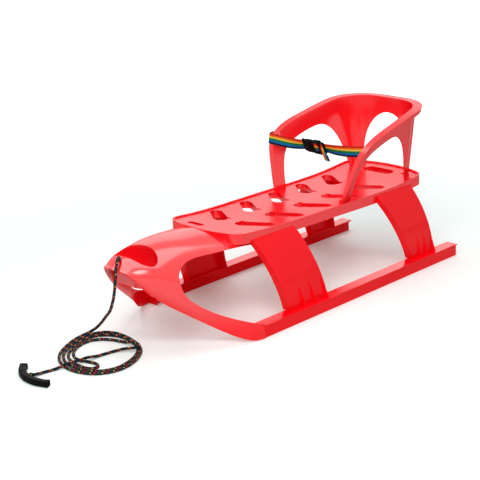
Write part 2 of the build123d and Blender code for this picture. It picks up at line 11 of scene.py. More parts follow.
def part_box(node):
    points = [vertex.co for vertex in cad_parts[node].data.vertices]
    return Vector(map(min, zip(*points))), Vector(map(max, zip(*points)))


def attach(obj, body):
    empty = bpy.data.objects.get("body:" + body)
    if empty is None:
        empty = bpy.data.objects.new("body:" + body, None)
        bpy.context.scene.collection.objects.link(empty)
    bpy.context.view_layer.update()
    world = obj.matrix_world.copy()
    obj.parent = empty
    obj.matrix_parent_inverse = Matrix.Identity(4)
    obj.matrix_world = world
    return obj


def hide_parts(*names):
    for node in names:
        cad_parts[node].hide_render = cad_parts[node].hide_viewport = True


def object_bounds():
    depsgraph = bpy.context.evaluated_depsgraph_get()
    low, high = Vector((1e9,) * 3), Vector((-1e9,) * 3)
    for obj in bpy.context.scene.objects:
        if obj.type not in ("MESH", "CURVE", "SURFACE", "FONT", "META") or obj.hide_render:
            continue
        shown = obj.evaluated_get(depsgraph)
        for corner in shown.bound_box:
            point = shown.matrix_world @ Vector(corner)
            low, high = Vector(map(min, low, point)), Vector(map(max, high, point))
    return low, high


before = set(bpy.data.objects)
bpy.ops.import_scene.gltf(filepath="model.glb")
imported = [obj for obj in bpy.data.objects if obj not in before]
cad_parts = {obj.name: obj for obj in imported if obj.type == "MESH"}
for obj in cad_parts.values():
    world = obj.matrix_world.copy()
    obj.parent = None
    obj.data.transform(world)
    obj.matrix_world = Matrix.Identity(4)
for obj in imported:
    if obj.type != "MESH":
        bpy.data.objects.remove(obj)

bl_info = {
    "name": "Moulded Sled",
    "version": (1, 0, 0),
    "blender": (4, 5, 0),
    "location": "View3D > Sidebar > Moulded Sled",
    "description": "Finishes, strap, rope, handle and studio for a moulded sled",
    "category": "Object",
}

CAD_LOW, CAD_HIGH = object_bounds()
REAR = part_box("left_runner")[1].y
MOULDINGS = (
    "deck", "nose_cowl", "left_runner", "right_runner", "left_front_leg", "right_front_leg",
    "left_rear_leg", "right_rear_leg", "backrest",
)
# Refractive index of the gloss coat, and its weight on faces seen square on and at a low angle; set
# part by part, these weights are a painted sheen, lighter and darker copies of one red plastic.
GLOSS_AND_PAINTED_SHEEN = {
    "deck": (1.7, 0.8, 0.10), "nose_cowl": (1.9, 0.95, 0.24), "backrest": (1.7, 1.0, 0.08),
    "left_runner": (1.6, 0.5, 1.0), "right_runner": (1.6, 0.2, 1.0),
}
PLAIN_GLOSS_AND_SHEEN = (1.6, 0.25, 0.3)
SQUARE_ON, LOW_ANGLE = 0.3, 0.75
# Painted shade: faces that look down, and heights in metres near the floor, with the least share of
# coat there.
PAINTED_SHADE_FADES = (("Normal", -0.75, -0.25, 0.05), ("Object", 0.015, 0.1, 0.3))
SKIN_GRAIN, BLACK_GRAIN = 700, 1600
BLACK_ROUGHNESS = 0.42
CAMERA_PLACE = (2.1922, REAR - 2.8939, 1.1811)
FLOOR_COLOUR = (0.9, 0.91, 0.9)
# The floor's own glow, from under the sled out to the distance where it is white; dim and tinted
# cyan near the sled, it is painted shade that sets the colour of the shadow there.
PAINTED_SHADOW_TINT, GLOW_FAR = (0.07, 0.14, 0.13), (1, 1, 1)
GLOW_STARTS, GLOW_ENDS = 0.7, 2.6


# ---- Settings --------------------------------------------------------------------------------
class SledFinish(bpy.types.PropertyGroup):
    """Colours and surface of the mouldings."""

    red: FloatVectorProperty(
        name="Moulding", description="Colour of the moulded pieces", subtype="COLOR", size=3,
        min=0, max=1, default=(0.93, 0.003, 0.009))
    gloss: FloatProperty(
        name="Roughness", description="Roughness of the moulded skin", min=0, max=1, default=0.3)
    black: FloatVectorProperty(
        name="Black parts", description="Colour of the buckle and the handle", subtype="COLOR",
        size=3, min=0, max=1, default=(0.006, 0.006, 0.007))


class SledStrap(bpy.types.PropertyGroup):
    """Sizes of the lap strap."""

    width: FloatProperty(
        name="Width", description="Width of the webbing", unit="LENGTH", min=0.01, max=0.05,
        default=0.025)
    thickness: FloatProperty(
        name="Thickness", description="Thickness of the webbing", unit="LENGTH", min=0.0005,
        max=0.004, default=0.0015)
    lean: FloatProperty(
        name="Lean", description="How far the webbing leans back at the arms", subtype="ANGLE",
        unit="ROTATION", default=radians(25))
    tip: FloatProperty(
        name="Tip", description="How far the buckle tips forward", subtype="ANGLE",
        unit="ROTATION", default=radians(28))


class SledHandle(bpy.types.PropertyGroup):
    """Sizes of the bar handle."""

    thickness: FloatProperty(
        name="Thickness", description="Thickness of the handle at its ends", unit="LENGTH",
        min=0.01, max=0.04, default=0.0172)
    fingers: IntProperty(
        name="Finger swells", description="Swells along the grip", min=1, max=8, default=4)
    wall: FloatProperty(
        name="End wall", description="Wall round each hollow end", unit="LENGTH", min=0.001,
        max=0.006, default=0.0025)
    hollow: FloatProperty(
        name="End hollow", description="Depth of each hollow end", unit="LENGTH", min=0,
        max=0.02, default=0.005)


class SledRope(bpy.types.PropertyGroup):
    """Sizes of the pull rope."""

    diameter: FloatProperty(
        name="Diameter", description="Rope diameter", unit="LENGTH", min=0.002, max=0.02,
        default=0.0066)
    braid_pitch: FloatProperty(
        name="Braid pitch", description="Length of one round of a braid strand", unit="LENGTH",
        min=0.005, max=0.05, default=0.024)


class SledStudio(bpy.types.PropertyGroup):
    """Camera and light."""

    azimuth: FloatProperty(
        name="Azimuth", description="Camera's angle round the sled", default=43.45)
    elevation: FloatProperty(
        name="Elevation", description="Camera's angle above the floor", default=17.86)
    roll: FloatProperty(name="Roll", description="Camera's roll in degrees", default=-2.0)
    lens: FloatProperty(
        name="Lens", description="Focal length in millimetres", min=20, max=300, default=112.7)
    key: FloatProperty(name="Key", description="Power of the main light", min=0, default=90.0)


# ---- Small helpers ---------------------------------------------------------------------------
def at(back):
    """Y of a place this many millimetres forward of the runners' rear ends."""
    return REAR - back / 1000


def placed(route):
    """Route of (x, back, z) in millimetres as points in the frame."""
    return [Vector((x / 1000, at(back), z / 1000)) for x, back, z in route]


def link(name, data):
    """New object in the scene."""
    piece = bpy.data.objects.new(name, data)
    bpy.context.scene.collection.objects.link(piece)
    return piece


def finish_mesh(bm, name, smooth=True, merge=True):
    """Turn a bmesh into an object with outward faces."""
    if merge:
        bmesh.ops.remove_doubles(bm, verts=bm.verts, dist=1e-6)
    bmesh.ops.recalc_face_normals(bm, faces=bm.faces)
    mesh = bpy.data.meshes.new(name)
    bm.to_mesh(mesh)
    bm.free()
    for face in mesh.polygons:
        face.use_smooth = smooth
    return link(name, mesh)


def dress(piece, material):
    """Give a piece its one material."""
    piece.data.materials.clear()
    piece.data.materials.append(material)


# ---- Shader helpers --------------------------------------------------------------------------
def new_material(name):
    """Material with a Principled shader; returns it with its nodes, links and shader."""
    material = bpy.data.materials.new(name)
    material.use_nodes = True
    nodes = material.node_tree.nodes
    return material, nodes, material.node_tree.links, nodes["Principled BSDF"]


def calc(tree, operation, first, second=0.0):
    """Result of one math node on two sockets or numbers."""
    node = tree.nodes.new("ShaderNodeMath")
    node.operation = operation
    for socket, value in zip(node.inputs, (first, second)):
        if isinstance(value, (int, float)):
            socket.default_value = value
        else:
            tree.links.new(value, socket)
    return node.outputs[0]


def ranged(tree, value, low, high, start=0.0, end=1.0, smooth=False):
    """A value that runs from start to end, spread over low to high."""
    node = tree.nodes.new("ShaderNodeMapRange")
    if smooth:
        node.interpolation_type = "SMOOTHSTEP"
    for label, number in (
        ("From Min", start), ("From Max", end), ("To Min", low), ("To Max", high),
    ):
        node.inputs[label].default_value = number
    tree.links.new(value, node.inputs["Value"])
    return node.outputs[0]


def toned(tree, colour, share):
    """A colour made lighter or darker by a share."""
    node = tree.nodes.new("ShaderNodeVectorMath")
    node.operation = "SCALE"
    tree.links.new(colour, node.inputs[0])
    tree.links.new(share, node.inputs["Scale"])
    return node.outputs[0]


def noise_of(tree, where, scale, detail=2.0):
    """Noise at a scale, read at some coordinates."""
    node = tree.nodes.new("ShaderNodeTexNoise")
    node.inputs["Scale"].default_value = scale
    node.inputs["Detail"].default_value = detail
    tree.links.new(where, node.inputs["Vector"])
    return node.outputs["Fac"]


def raised(tree, height, strength, distance):
    """Normal raised by a height."""
    node = tree.nodes.new("ShaderNodeBump")
    node.inputs["Strength"].default_value = strength
    node.inputs["Distance"].default_value = distance
    tree.links.new(height, node.inputs["Height"])
    return node.outputs["Normal"]


def banded(tree, where, stops):
    """Colour chosen in hard-edged bands by a share from 0 to 1."""
    node = tree.nodes.new("ShaderNodeValToRGB")
    ramp = node.color_ramp
    ramp.interpolation = "CONSTANT"
    for index, (place, colour) in enumerate(stops):
        stop = ramp.elements[index] if index < 2 else ramp.elements.new(place)
        stop.position = place
        stop.color = (*colour, 1)
    tree.links.new(where, node.inputs["Fac"])
    return node.outputs["Color"]


def moulded_skin():
    """Node group: fine moulding grain with cloudy gloss and thin handling scuffs."""
    name = "moulded_skin"
    if name in bpy.data.node_groups:
        return bpy.data.node_groups[name]
    tree = bpy.data.node_groups.new(name, "ShaderNodeTree")
    for label, kind, default in (
        ("Colour", "NodeSocketColor", (0.5, 0.5, 0.5, 1)), ("Roughness", "NodeSocketFloat", 0.3),
        ("Grain Scale", "NodeSocketFloat", 900.0),
    ):
        socket = tree.interface.new_socket(label, in_out="INPUT", socket_type=kind)
        socket.default_value = default
    for label, kind in (
        ("Colour", "NodeSocketColor"), ("Roughness", "NodeSocketFloat"),
        ("Normal", "NodeSocketVector"),
    ):
        tree.interface.new_socket(label, in_out="OUTPUT", socket_type=kind)
    given, made = tree.nodes.new("NodeGroupInput"), tree.nodes.new("NodeGroupOutput")
    where = tree.nodes.new("ShaderNodeTexCoord").outputs["Object"]
    cloud = noise_of(tree, where, 9, 4)
    scuff = tree.nodes.new("ShaderNodeTexVoronoi")
    scuff.feature = "DISTANCE_TO_EDGE"
    scuff.inputs["Scale"].default_value = 16
    bent = tree.nodes.new("ShaderNodeVectorMath")
    bent.operation = "MULTIPLY_ADD"
    bent.inputs[1].default_value = (1, 0.35, 1)
    drift = tree.nodes.new("ShaderNodeTexNoise")
    drift.inputs["Scale"].default_value = 14
    tree.links.new(where, drift.inputs["Vector"])
    tree.links.new(where, bent.inputs[0])
    tree.links.new(drift.outputs["Color"], bent.inputs[2])
    tree.links.new(bent.outputs[0], scuff.inputs["Vector"])
    thin = calc(tree, "LESS_THAN", scuff.outputs["Distance"], 0.006)
    rare = calc(tree, "GREATER_THAN", noise_of(tree, where, 23, 2), 0.56)
    mark = calc(tree, "MULTIPLY", thin, rare)
    dull = calc(tree, "MULTIPLY", calc(tree, "SUBTRACT", cloud, 0.5), 0.16)
    dull = calc(tree, "ADD", dull, calc(tree, "MULTIPLY", mark, 0.02))
    tree.links.new(calc(tree, "ADD", given.outputs["Roughness"], dull), made.inputs["Roughness"])
    tone = toned(tree, given.outputs["Colour"], ranged(tree, cloud, 0.95, 1.05))
    tree.links.new(tone, made.inputs["Colour"])
    grain = tree.nodes.new("ShaderNodeTexNoise")
    tree.links.new(where, grain.inputs["Vector"])
    tree.links.new(given.outputs["Grain Scale"], grain.inputs["Scale"])
    tree.links.new(raised(tree, grain.outputs["Fac"], 0.10, 0.0002), made.inputs["Normal"])
    return tree


def moulded(name, colour, roughness, grain_scale):
    """Moulded plastic in one colour, with the moulding's skin over it."""
    material, nodes, links, shader = new_material(name)
    skin = nodes.new("ShaderNodeGroup")
    skin.node_tree = moulded_skin()
    skin.inputs["Colour"].default_value = (*colour, 1)
    skin.inputs["Roughness"].default_value = roughness
    skin.inputs["Grain Scale"].default_value = grain_scale
    links.new(skin.outputs["Colour"], shader.inputs["Base Color"])
    links.new(skin.outputs["Roughness"], shader.inputs["Roughness"])
    links.new(skin.outputs["Normal"], shader.inputs["Normal"])
    return material, shader


def red_material(settings, name, index, square_weight, low_weight):
    """Glossy red moulding, its gloss coat set apart for faces seen square on and at a low angle,
    and cut back as painted shade on faces that look down and near the floor.
    """
    material, shader = moulded(name, settings.red, settings.gloss, SKIN_GRAIN)
    shader.inputs["Specular IOR Level"].default_value = 0.04
    shader.inputs["Coat Roughness"].default_value = 0.16
    shader.inputs["Coat IOR"].default_value = index
    tree = material.node_tree
    graze = tree.nodes.new("ShaderNodeLayerWeight")
    graze.inputs["Blend"].default_value = 0.5
    weight = ranged(
        tree, graze.outputs["Facing"], square_weight, low_weight, SQUARE_ON, LOW_ANGLE, True)
    where = tree.nodes.new("ShaderNodeTexCoord")
    # Painted shade: less coat, so a darker red, on faces that look down and near the floor.
    for source, start, end, least in PAINTED_SHADE_FADES:
        parts = tree.nodes.new("ShaderNodeSeparateXYZ")
        tree.links.new(where.outputs[source], parts.inputs[0])
        painted_shade = ranged(tree, parts.outputs["Z"], least, 1.0, start, end, True)
        weight = calc(tree, "MULTIPLY", weight, painted_shade)
    tree.links.new(weight, shader.inputs["Coat Weight"])
    return material


def black_material(settings):
    """Satin black moulding."""
    name = "black_moulding"
    if name in bpy.data.materials:
        return bpy.data.materials[name]
    material, shader = moulded(name, settings.black, BLACK_ROUGHNESS, BLACK_GRAIN)
    shader.inputs["Specular IOR Level"].default_value = 0.015
    return material


STRIPES = (
    (0.00, (0.002, 0.003, 0.014)),
    (0.17, (0.004, 0.150, 0.500)),
    (0.34, (0.006, 0.210, 0.040)),
    (0.54, (1.000, 0.680, 0.070)),
    (0.68, (1.000, 0.150, 0.004)),
    (0.84, (0.600, 0.016, 0.006)),
)


def fibre_fuzz():
    """Node group: the fine uneven tone of spun yarn, and painted shade that darkens the sunk parts
    of the weave by their relief.
    """
    name = "fibre_fuzz"
    if name in bpy.data.node_groups:
        return bpy.data.node_groups[name]
    tree = bpy.data.node_groups.new(name, "ShaderNodeTree")
    tree.interface.new_socket("Colour", in_out="INPUT", socket_type="NodeSocketColor")
    tree.interface.new_socket("Relief", in_out="INPUT", socket_type="NodeSocketFloat")
    tree.interface.new_socket("Colour", in_out="OUTPUT", socket_type="NodeSocketColor")
    tree.interface.new_socket("Height", in_out="OUTPUT", socket_type="NodeSocketFloat")
    given, made = tree.nodes.new("NodeGroupInput"), tree.nodes.new("NodeGroupOutput")
    where = tree.nodes.new("ShaderNodeTexCoord").outputs["Object"]
    fuzz = noise_of(tree, where, 2600, 3)
    # Painted shade: the colour darkens to 0.55 where the relief sinks between strands.
    depth = calc(tree, "ADD", calc(tree, "MULTIPLY", given.outputs["Relief"], 0.45), 0.55)
    fuzz_and_painted_shade = calc(tree, "MULTIPLY", ranged(tree, fuzz, 0.72, 1.25), depth)
    tree.links.new(toned(tree, given.outputs["Colour"], fuzz_and_painted_shade), made.inputs["Colour"])
    height = calc(tree, "ADD", given.outputs["Relief"], calc(tree, "MULTIPLY", fuzz, 0.25))
    tree.links.new(height, made.inputs["Height"])
    return tree


def yarn_finish(tree, shader, colour, relief, distance):
    """Fuzz a yarn's colour, darken it with painted shade where its relief sinks, and raise it by
    its relief.
    """
    fuzz = tree.nodes.new("ShaderNodeGroup")
    fuzz.node_tree = fibre_fuzz()
    tree.links.new(colour, fuzz.inputs["Colour"])
    tree.links.new(relief, fuzz.inputs["Relief"])
    tree.links.new(fuzz.outputs["Colour"], shader.inputs["Base Color"])
    tree.links.new(raised(tree, fuzz.outputs["Height"], 0.8, distance), shader.inputs["Normal"])


def map_sockets(tree):
    """Metres along and share across, from a piece's own UV map."""
    split = tree.nodes.new("ShaderNodeSeparateXYZ")
    tree.links.new(tree.nodes.new("ShaderNodeUVMap").outputs["UV"], split.inputs[0])
    return split.outputs["X"], split.outputs["Y"]


def webbing_material():
    """Woven webbing with coloured stripes along it and a fine ribbed weave."""
    name = "striped_webbing"
    if name in bpy.data.materials:
        return bpy.data.materials[name]
    material, _, _, shader = new_material(name)
    tree = material.node_tree
    shader.inputs["Roughness"].default_value = 0.72
    shader.inputs["Specular IOR Level"].default_value = 0.15
    along, across = map_sockets(tree)
    colour = banded(tree, across, STRIPES)
    warp = calc(tree, "SINE", calc(tree, "MULTIPLY", across, tau * 24))
    weft = calc(tree, "SINE", calc(tree, "MULTIPLY", along, tau / 0.0012))
    weave = calc(tree, "MULTIPLY", warp, weft)
    relief = calc(tree, "ADD", calc(tree, "MULTIPLY", weave, 0.5), 0.5)
    yarn_finish(tree, shader, colour, relief, 0.0003)
    return material


NAVY, RED, GREEN, YELLOW = (
    (0.004, 0.007, 0.022), (0.48, 0.012, 0.02), (0.006, 0.075, 0.035), (0.80, 0.52, 0.10),
)
STRANDS_LEFT = (NAVY, RED, RED, NAVY, GREEN, NAVY, NAVY, NAVY)
STRANDS_RIGHT = (NAVY, NAVY, GREEN, NAVY, YELLOW, NAVY, NAVY, NAVY)


def rope_material(settings):
    """Braid of navy yarn with red, green and yellow flecks, two strands over and two under."""
    name = "braided_rope"
    if name in bpy.data.materials:
        return bpy.data.materials[name]
    material, nodes, links, shader = new_material(name)
    tree = material.node_tree
    shader.inputs["Roughness"].default_value = 0.68
    shader.inputs["Specular IOR Level"].default_value = 0.15
    along, around = map_sockets(tree)
    rounds = calc(tree, "DIVIDE", along, settings.braid_pitch)
    strands = len(STRANDS_LEFT)
    sides = []
    for operation, colours in (("ADD", STRANDS_LEFT), ("SUBTRACT", STRANDS_RIGHT)):
        turned = calc(tree, "FLOORED_MODULO", calc(tree, operation, rounds, around), 1.0)
        colour = banded(tree, turned, [(i / strands, c) for i, c in enumerate(colours)])
        count = calc(tree, "MULTIPLY", turned, strands)
        off = calc(tree, "SUBTRACT", calc(tree, "FRACT", count), 0.5)
        sunk = calc(tree, "MULTIPLY", calc(tree, "MULTIPLY", off, off), 4.0)
        crown = calc(tree, "SUBTRACT", 1.0, sunk)
        sides.append((colour, calc(tree, "FLOOR", count), crown))
    (left, left_count, left_crown), (right, right_count, right_crown) = sides
    order = calc(tree, "FLOORED_MODULO", calc(tree, "ADD", left_count, right_count), 4.0)
    over = calc(tree, "LESS_THAN", order, 1.5)
    colour = nodes.new("ShaderNodeMix")
    colour.data_type = "RGBA"
    links.new(over, colour.inputs["Factor"])
    links.new(right, colour.inputs[6])
    links.new(left, colour.inputs[7])
    crown = nodes.new("ShaderNodeMix")
    links.new(over, crown.inputs["Factor"])
    links.new(right_crown, crown.inputs[2])
    links.new(left_crown, crown.inputs[3])
    yarn_finish(tree, shader, colour.outputs[2], crown.outputs[0], 0.0007)
    return material


# ---- Lines, tubes and bands ------------------------------------------------------------------
def smooth_line(points, steps):
    """Places along the smooth line that a route's control points pull."""
    curve = bpy.data.curves.new("route", "CURVE")
    curve.dimensions = "3D"
    curve.resolution_u = steps
    spline = curve.splines.new("NURBS")
    spline.points.add(len(points) - 1)
    for point, place in zip(spline.points, points):
        point.co = (*place, 1)
    spline.order_u = 3
    spline.use_endpoint_u = True
    guide = bpy.data.objects.new("route", curve)
    mesh = bpy.data.meshes.new_from_object(guide)
    line = [vertex.co.copy() for vertex in mesh.vertices]
    bpy.data.objects.remove(guide)
    bpy.data.meshes.remove(mesh)
    bpy.data.curves.remove(curve)
    return line


def runs_along(line):
    """Distance covered at each point of a line."""
    runs = [0.0]
    for before, after in zip(line, line[1:]):
        runs.append(runs[-1] + (after - before).length)
    return runs


def frames_along(line, side=None):
    """Two directions across a line at each of its points, turned as little as possible."""
    frames = []
    for index, place in enumerate(line):
        ahead = (line[min(index + 1, len(line) - 1)] - line[max(index - 1, 0)]).normalized()
        side = side or ahead.orthogonal()
        side = (side - ahead * side.dot(ahead)).normalized()
        frames.append((place, side, ahead.cross(side)))
    return frames


def mapped_grid(bm, columns, rows, place):
    """Grid laid out by place(column, row), and each vertex's column and row."""
    bmesh.ops.create_grid(bm, x_segments=columns, y_segments=rows, size=0.5)
    cells = {
        vert: (round((vert.co.x + 0.5) * columns), round((vert.co.y + 0.5) * rows))
        for vert in bm.verts
    }
    for vert, (column, row) in cells.items():
        vert.co = place(column, row)
    return cells


def note_map(bm, cells, along, rows):
    """UV map in metres along a grid and shares across it."""
    layer = bm.loops.layers.uv.new("UVMap")
    for face in bm.faces:
        for loop in face.loops:
            column, row = cells[loop.vert]
            loop[layer].uv = (along[column], row / rows)


def tube(line, radius, around, name, power=2, flat=1, side=None):
    """Closed tube along a line, its radius a number or read from each point's share.

    A power over 2 squares the section, flat is its height over its width, and side is the way
    its width faces.
    """
    frames, runs, last = frames_along(line, side), runs_along(line), len(line) - 1

    def place(column, row):
        middle, side, up = frames[column]
        turn = tau * row / around
        size = radius(runs[column] / runs[-1]) if callable(radius) else radius
        size /= (abs(cos(turn)) ** power + abs(sin(turn)) ** power) ** (1 / power)
        return middle + (side * cos(turn) + up * sin(turn) * flat) * size

    bm = bmesh.new()
    note_map(bm, mapped_grid(bm, last, around, place), runs, around)
    bmesh.ops.remove_doubles(bm, verts=bm.verts, dist=1e-6)
    bmesh.ops.holes_fill(bm, edges=[edge for edge in bm.edges if edge.is_boundary])
    return finish_mesh(bm, name)


def band(line, across, width, thick, name, crown=0.0002):
    """Flat webbing along a line, its width given by across at each point's share."""
    runs, rows, last = runs_along(line), 8, len(line) - 1

    def place(column, row):
        share = row / rows - 0.5
        wide = across(runs[column] / runs[-1]).normalized()
        ahead = (line[min(column + 1, last)] - line[max(column - 1, 0)]).normalized()
        proud = wide.cross(ahead) * crown * (1 - 4 * share * share)
        return line[column] + wide * width * share + proud

    bm = bmesh.new()
    note_map(bm, mapped_grid(bm, last, rows, place), runs, rows)
    piece = finish_mesh(bm, name)
    shell = piece.modifiers.new("thickness", "SOLIDIFY")
    shell.thickness, shell.offset = thick, 0
    edges = piece.modifiers.new("edges", "BEVEL")
    edges.width, edges.segments, edges.limit_method = thick * 0.3, 2, "ANGLE"
    return piece


# ---- Rope ------------------------------------------------------------------------------------
DROP_ROUTE = (
    (0, 941, 199), (0, 941, 206), (3.5, 945.5, 213), (10, 954, 214), (17, 963.5, 209),
    (23, 973, 199.5), (27, 979, 188), (28, 982, 172), (25, 982, 154), (17, 979, 135),
    (4, 973, 116), (-13, 963, 98), (-34, 951, 82), (-56, 939, 67), (-78, 928, 50),
    (-97, 920, 35), (-114, 915, 22), (-127, 916, 12), (-136, 924, 5.5), (-139, 937, 3.2),
    (-137.5, 950, 3.2), (-134, 965, 3.2),
)
# Turns of the coil on the floor as (x, back): down its left side, round the front and back.
FIRST_TURN = (
    (-126, 985), (-113, 1013), (-98, 1036), (-82, 1053), (-62, 1067), (-38, 1077), (-11, 1081),
    (15, 1077), (37, 1067), (54, 1050), (64, 1027), (66, 999), (57, 967), (42, 939), (24, 917),
    (1, 901), (-28, 890), (-60, 883), (-89, 882), (-111, 890), (-124, 905), (-129, 925),
)
SECOND_TURN = (
    (-129, 949), (-120, 978), (-107, 1008), (-90, 1033), (-70, 1051), (-47, 1063), (-20, 1068),
    (7, 1065), (30, 1056), (47, 1040), (55, 1016), (53, 988), (43, 958), (28, 932), (10, 913),
    (-13, 900), (-42, 892), (-72, 891), (-96, 900), (-111, 915), (-118, 934),
)
HAIRPIN = (
    (-117, 955), (-109, 980), (-97, 1005), (-82, 1027), (-63, 1043), (-36, 1053), (-10, 1056),
    (9, 1054), (20, 1046), (20, 1034), (8, 1026), (-8, 1026), (-22, 1031), (-35, 1035),
    (-50, 1034), (-65, 1027), (-81, 1014), (-94, 996), (-102, 974), (-104, 952), (-96, 933),
    (-79, 919), (-57, 911),
)
# Round on top of the first turns, across the coil's eye and over its front.
CROSSING_ROUTE = (
    (-34, 909, 4.5), (-14, 906, 9.4), (4, 906, 9.6), (15, 914, 9.6), (15, 927, 9.6),
    (6, 935, 9.2), (-7, 940, 6), (-16, 950, 3.4), (-20, 966, 3.2), (-23, 984, 3.2),
    (-24, 1002, 4.6), (-24, 1017, 8.6), (-25, 1031, 9.8), (-26, 1045, 9.8), (-28, 1058, 9.8),
    (-32, 1070, 9.6), (-35, 1080, 8), (-38, 1090, 5),
)
LEAD_ROUTE = (
    (-41, 1100, 3.4), (-45, 1114, 3.2), (-47, 1128, 3.8), (-47.5, 1144, 5.6), (-45, 1161, 8.5),
)


def on_floor(turn):
    """Points of a turn that lies on the floor."""
    return tuple((x, back, 3.5) for x, back in turn)


class SLED_OT_rope(bpy.types.Operator):
    """Lay the pull rope from the nose, round its coil and out to the handle"""

    bl_idname = "sled.rope"
    bl_label = "Pull Rope"

    def execute(self, context):
        settings = context.scene.sled_rope
        points = placed(
            DROP_ROUTE + on_floor(FIRST_TURN + SECOND_TURN + HAIRPIN) + CROSSING_ROUTE + LEAD_ROUTE)
        line = smooth_line(points, 6)
        rope = tube(line, settings.diameter / 2, 12, "pull_rope")
        dress(rope, rope_material(settings))
        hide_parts("rope_drop", "rope_coil", "rope_lead")
        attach(rope, "sled")
        return {"FINISHED"}


class SLED_OT_knot(bpy.types.Operator):
    """Tie the stopper knot under the nose"""

    bl_idname = "sled.knot"
    bl_label = "Stopper Knot"

    def execute(self, context):
        settings = context.scene.sled_rope
        low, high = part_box("rope_knot")
        middle = (low + high) / 2
        reach = (high.x - low.x) / 2 - settings.diameter / 2
        loop = []
        for step in range(73):
            turn = tau * step / 72
            wide = reach * (0.68 + 0.32 * cos(3 * turn))
            loop.append(middle + Vector((
                wide * cos(2 * turn), wide * sin(2 * turn), 0.55 * reach * sin(3 * turn))))
        knot = tube(loop, settings.diameter / 2 * 0.95, 12, "stopper_knot")
        dress(knot, rope_material(settings))
        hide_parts("rope_knot")
        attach(knot, "sled")
        return {"FINISHED"}


# ---- Handle ----------------------------------------------------------------------------------
HANDLE_ROUTE = ((-97, 1133, 7), (-39, 1169, 7), (13, 1160.5, 7))
# Shares of the handle's length: the grip each way from its middle, and the flare at each end.
GRIP_HALF, FLARE_SPAN = 0.40, 0.10
# How far before the rope's end the collar starts, its radius there, and how much that grows.
COLLAR_START, COLLAR_RADIUS, COLLAR_GROWS = 0.012, 0.0042, 0.0022


def arc_line(first, middle, last, steps):
    """Places along the level arc through three points."""
    a, b = middle - first, last - first
    cross = 2 * (a.x * b.y - a.y * b.x)
    centre = first + Vector((
        (b.y * a.length_squared - a.y * b.length_squared) / cross,
        (a.x * b.length_squared - b.x * a.length_squared) / cross, 0))
    start, end = first - centre, last - centre
    sweep = start.xy.angle_signed(end.xy)
    return [
        centre + Matrix.Rotation(-sweep * step / steps, 3, "Z") @ start for step in range(steps + 1)
    ]


class SLED_OT_handle(bpy.types.Operator):
    """Shape the curved bar handle, with a swell for each finger and hollow ends"""

    bl_idname = "sled.handle"
    bl_label = "Bar Handle"

    def execute(self, context):
        grip = context.scene.sled_handle
        line = arc_line(*placed(HANDLE_ROUTE), 96)

        def radius(share):
            ends = max(0, abs(share - 0.5) - GRIP_HALF) / FLARE_SPAN
            swell = cos(share * tau * grip.fingers) * 0.5 + 0.5
            return grip.thickness / 2 * (0.90 + 0.04 * swell + 0.06 * ends * ends)

        handle = tube(
            line, radius, 48, "bar_handle", power=5, flat=0.8, side=Vector((1, -1, 0)))
        bm = bmesh.new()
        bm.from_mesh(handle.data)
        for place, ahead in ((line[0], line[1] - line[0]), (line[-1], line[-2] - line[-1])):
            cap = min(
                (face for face in bm.faces if len(face.verts) > 4),
                key=lambda face: (face.calc_center_median() - place).length)
            for inset, depth in ((grip.wall, 0), (0.0008, 0.0008), (0.0004, grip.hollow)):
                bmesh.ops.inset_region(bm, faces=[cap], thickness=inset)
                bmesh.ops.translate(bm, vec=ahead.normalized() * depth, verts=cap.verts)
        bmesh.ops.recalc_face_normals(bm, faces=bm.faces)
        bm.to_mesh(handle.data)
        bm.free()
        edges = handle.modifiers.new("edges", "BEVEL")
        edges.width, edges.segments, edges.limit_method = 0.0006, 2, "ANGLE"
        edges.angle_limit = radians(50)
        dress(handle, black_material(context.scene.sled_finish))
        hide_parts("handle")
        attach(handle, "sled")
        self.collar(context)
        return {"FINISHED"}

    def collar(self, context):
        """Short collar where the rope goes into the handle."""
        ends = placed(LEAD_ROUTE[-2:])
        ahead = (ends[1] - ends[0]).normalized()
        line = [ends[1] + ahead * (step / 1000 - COLLAR_START) for step in range(9)]

        def radius(share):
            return COLLAR_RADIUS + COLLAR_GROWS * share * share

        collar = tube(line, radius, 24, "handle_collar")
        dress(collar, black_material(context.scene.sled_finish))
        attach(collar, "sled")


# ---- Strap and buckle ------------------------------------------------------------------------
NEAR_ROUTE = (
    (134, 297, 315.5), (128, 297.2, 315.5), (118, 299, 315), (102, 303.6, 313.5),
    (80, 309, 312.6), (56, 311.6, 312.4), (34, 310, 312), (25, 308.4, 312), (18, 309.4, 312),
    (13, 317, 312), (10, 320.2, 312), (5, 320.6, 312), (1, 318.2, 312), (-4, 309.6, 312),
)
FAR_ROUTE = (
    (-28, 310.5, 312), (-38, 311.5, 312), (-54, 313.2, 310.6), (-84, 315, 310),
    (-120, 316.4, 312.3), (-138, 316.9, 313), (-143.6, 315.4, 313.2), (-145.1, 311, 313.4),
    (-144.9, 302, 314), (-143.4, 297.8, 314.4), (-138, 296.9, 314.8), (-128, 297, 315),
)
TAIL_ROUTE = (
    (20, 309.8, 312), (22, 315, 313.6), (26, 319.6, 313.6), (31, 322.4, 309), (35.5, 323.5, 302),
    (39.5, 323.5, 295), (43, 323, 287),
)
BUCKLE_MIDDLE = (0, 312, 312)


